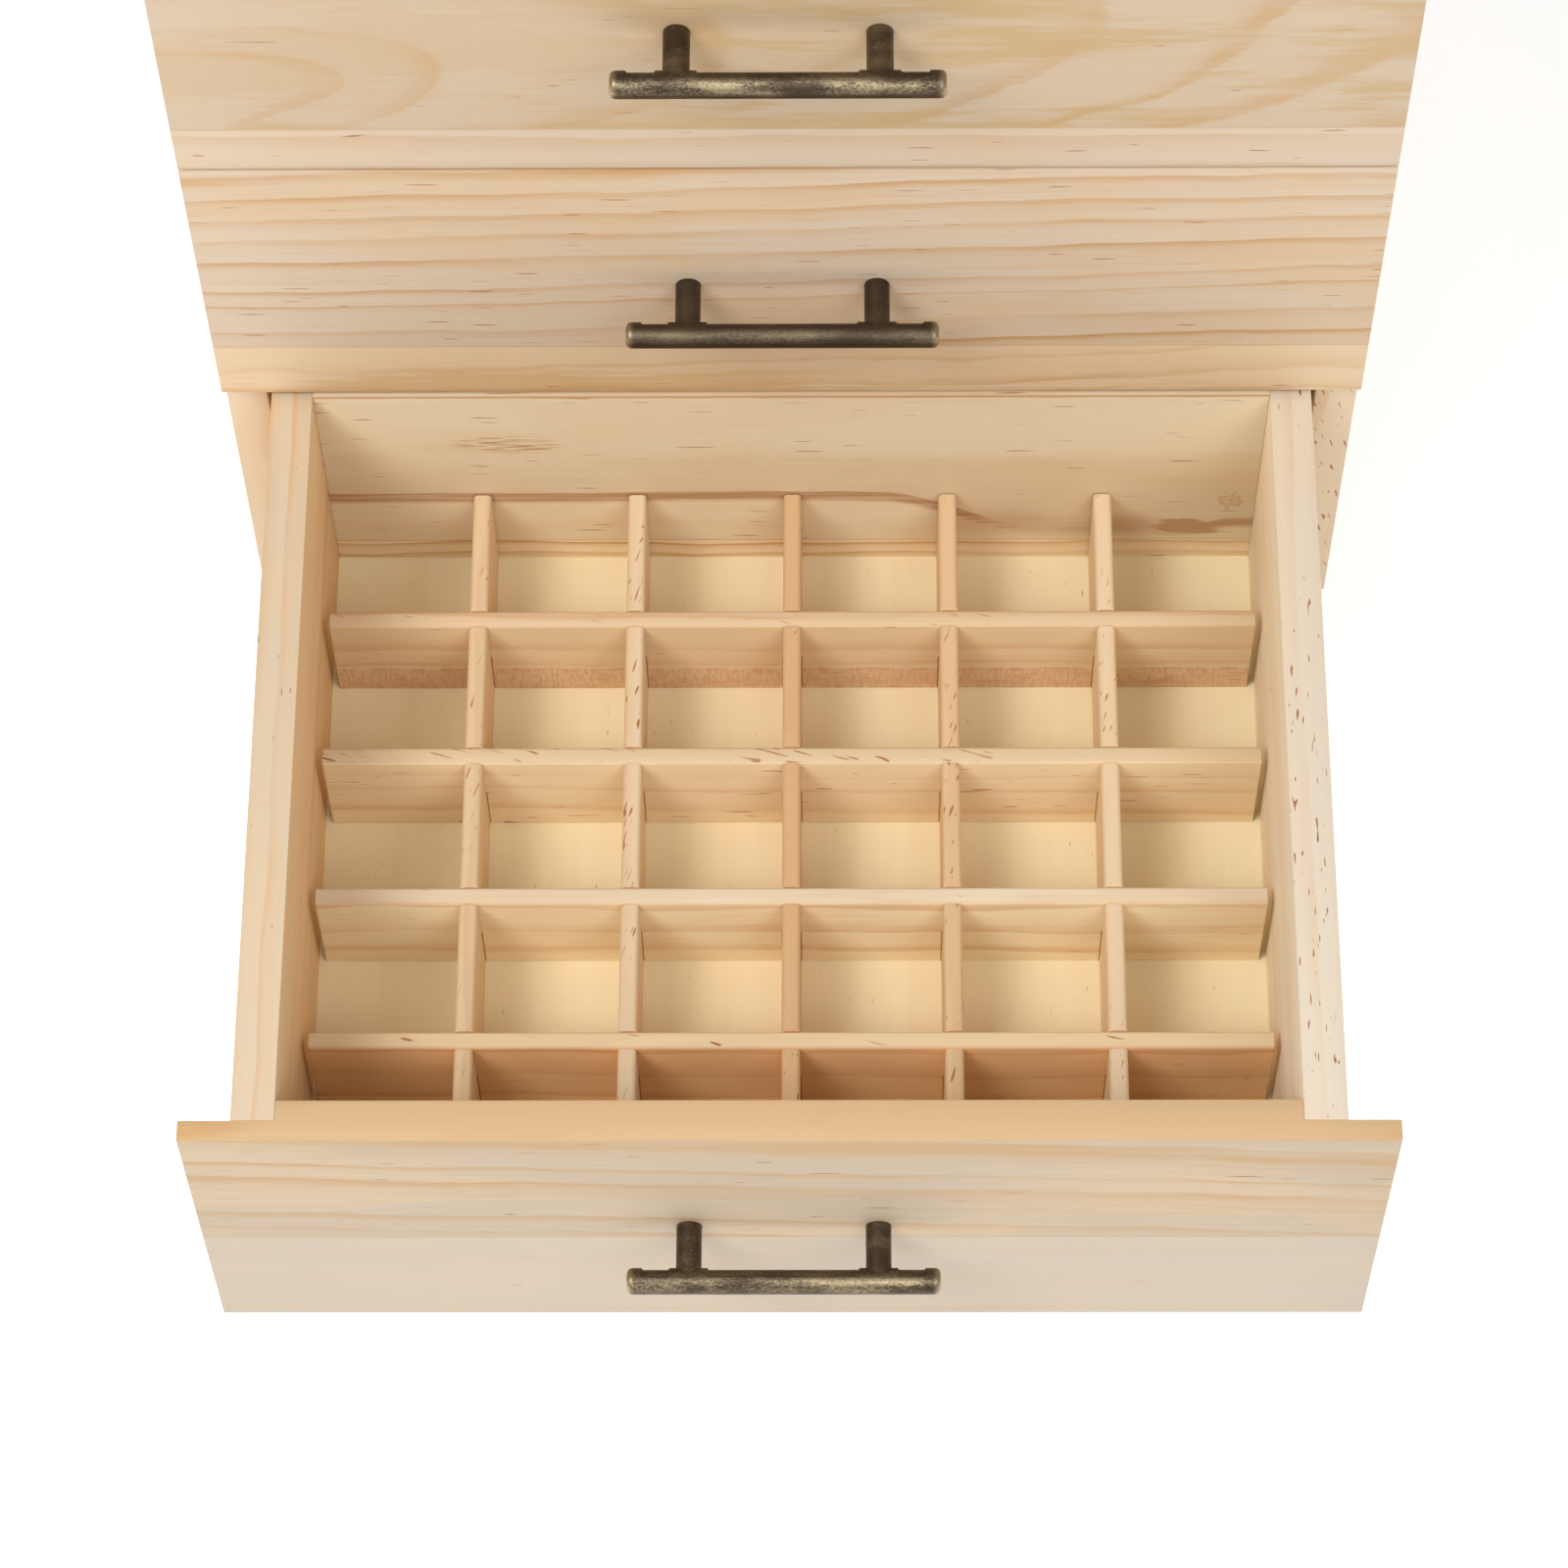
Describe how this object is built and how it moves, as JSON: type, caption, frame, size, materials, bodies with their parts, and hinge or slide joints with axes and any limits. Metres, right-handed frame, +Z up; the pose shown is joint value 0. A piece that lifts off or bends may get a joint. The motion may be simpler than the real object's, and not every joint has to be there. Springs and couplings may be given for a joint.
{
  "type": "essential oil storage box",
  "caption": "Pine cabinet with stacked pull-out drawers, each split by lapped dividers into square cells for small bottles, with bronze bar handles.",
  "frame": {"origin": "centre of the cabinet's underside, halfway between the closed fronts' faces and the back", "axes": "+X to the right as seen from the front, +Y from the fronts to the back, +Z up"},
  "size_m": [0.25, 0.3936, 0.2763],
  "materials": {
    "pine": "bare sanded pine, matte",
    "divider_pine": "bare pine strips, pinkish tan, matte",
    "plywood": "bare basswood plywood, matte",
    "antique_bronze": "dark antique bronze with rubbed brassy edges, half gloss",
    "screw_steel": "zinc-plated steel"
  },
  "bodies": {
    "cabinet": {"cabinet_side_left": "pine", "cabinet_side_right": "pine", "cabinet_top": "pine", "cabinet_bottom": "pine", "cabinet_back": "plywood", "shelf_lower": "plywood", "shelf_upper": "plywood", "back_brads": "screw_steel"},
    "bottom_drawer": {"bottom_drawer_front": "pine", "bottom_drawer_side_left": "pine", "bottom_drawer_side_right": "pine", "bottom_drawer_back": "pine", "bottom_drawer_base": "plywood", "bottom_row_divider_1": "divider_pine", "bottom_row_divider_2": "divider_pine", "bottom_row_divider_3": "divider_pine", "bottom_row_divider_4": "divider_pine", "bottom_cross_divider_1": "divider_pine", "bottom_cross_divider_2": "divider_pine", "bottom_cross_divider_3": "divider_pine", "bottom_cross_divider_4": "divider_pine", "bottom_cross_divider_5": "divider_pine", "bottom_handle": "antique_bronze", "bottom_handle_screws": "screw_steel"},
    "middle_drawer": {"middle_drawer_front": "pine", "middle_drawer_side_left": "pine", "middle_drawer_side_right": "pine", "middle_drawer_back": "pine", "middle_drawer_base": "plywood", "middle_row_divider_1": "divider_pine", "middle_row_divider_2": "divider_pine", "middle_row_divider_3": "divider_pine", "middle_row_divider_4": "divider_pine", "middle_cross_divider_1": "divider_pine", "middle_cross_divider_2": "divider_pine", "middle_cross_divider_3": "divider_pine", "middle_cross_divider_4": "divider_pine", "middle_cross_divider_5": "divider_pine", "middle_handle": "antique_bronze", "middle_handle_screws": "screw_steel"},
    "top_drawer": {"top_drawer_front": "pine", "top_drawer_side_left": "pine", "top_drawer_side_right": "pine", "top_drawer_back": "pine", "top_drawer_base": "plywood", "top_row_divider_1": "divider_pine", "top_row_divider_2": "divider_pine", "top_row_divider_3": "divider_pine", "top_row_divider_4": "divider_pine", "top_cross_divider_1": "divider_pine", "top_cross_divider_2": "divider_pine", "top_cross_divider_3": "divider_pine", "top_cross_divider_4": "divider_pine", "top_cross_divider_5": "divider_pine", "top_handle": "antique_bronze", "top_handle_screws": "screw_steel"}
  },
  "joints": [
    {"name": "bottom_drawer_slide", "type": "slide", "parent": "cabinet", "child": "bottom_drawer", "axis": [0, -1, 0], "range_m": [-0.1782, 0]},
    {"name": "middle_drawer_slide", "type": "slide", "parent": "cabinet", "child": "middle_drawer", "axis": [0, -1, 0], "range_m": [0, 0.1782]},
    {"name": "top_drawer_slide", "type": "slide", "parent": "cabinet", "child": "top_drawer", "axis": [0, -1, 0], "range_m": [0, 0.1782]}
  ]
}
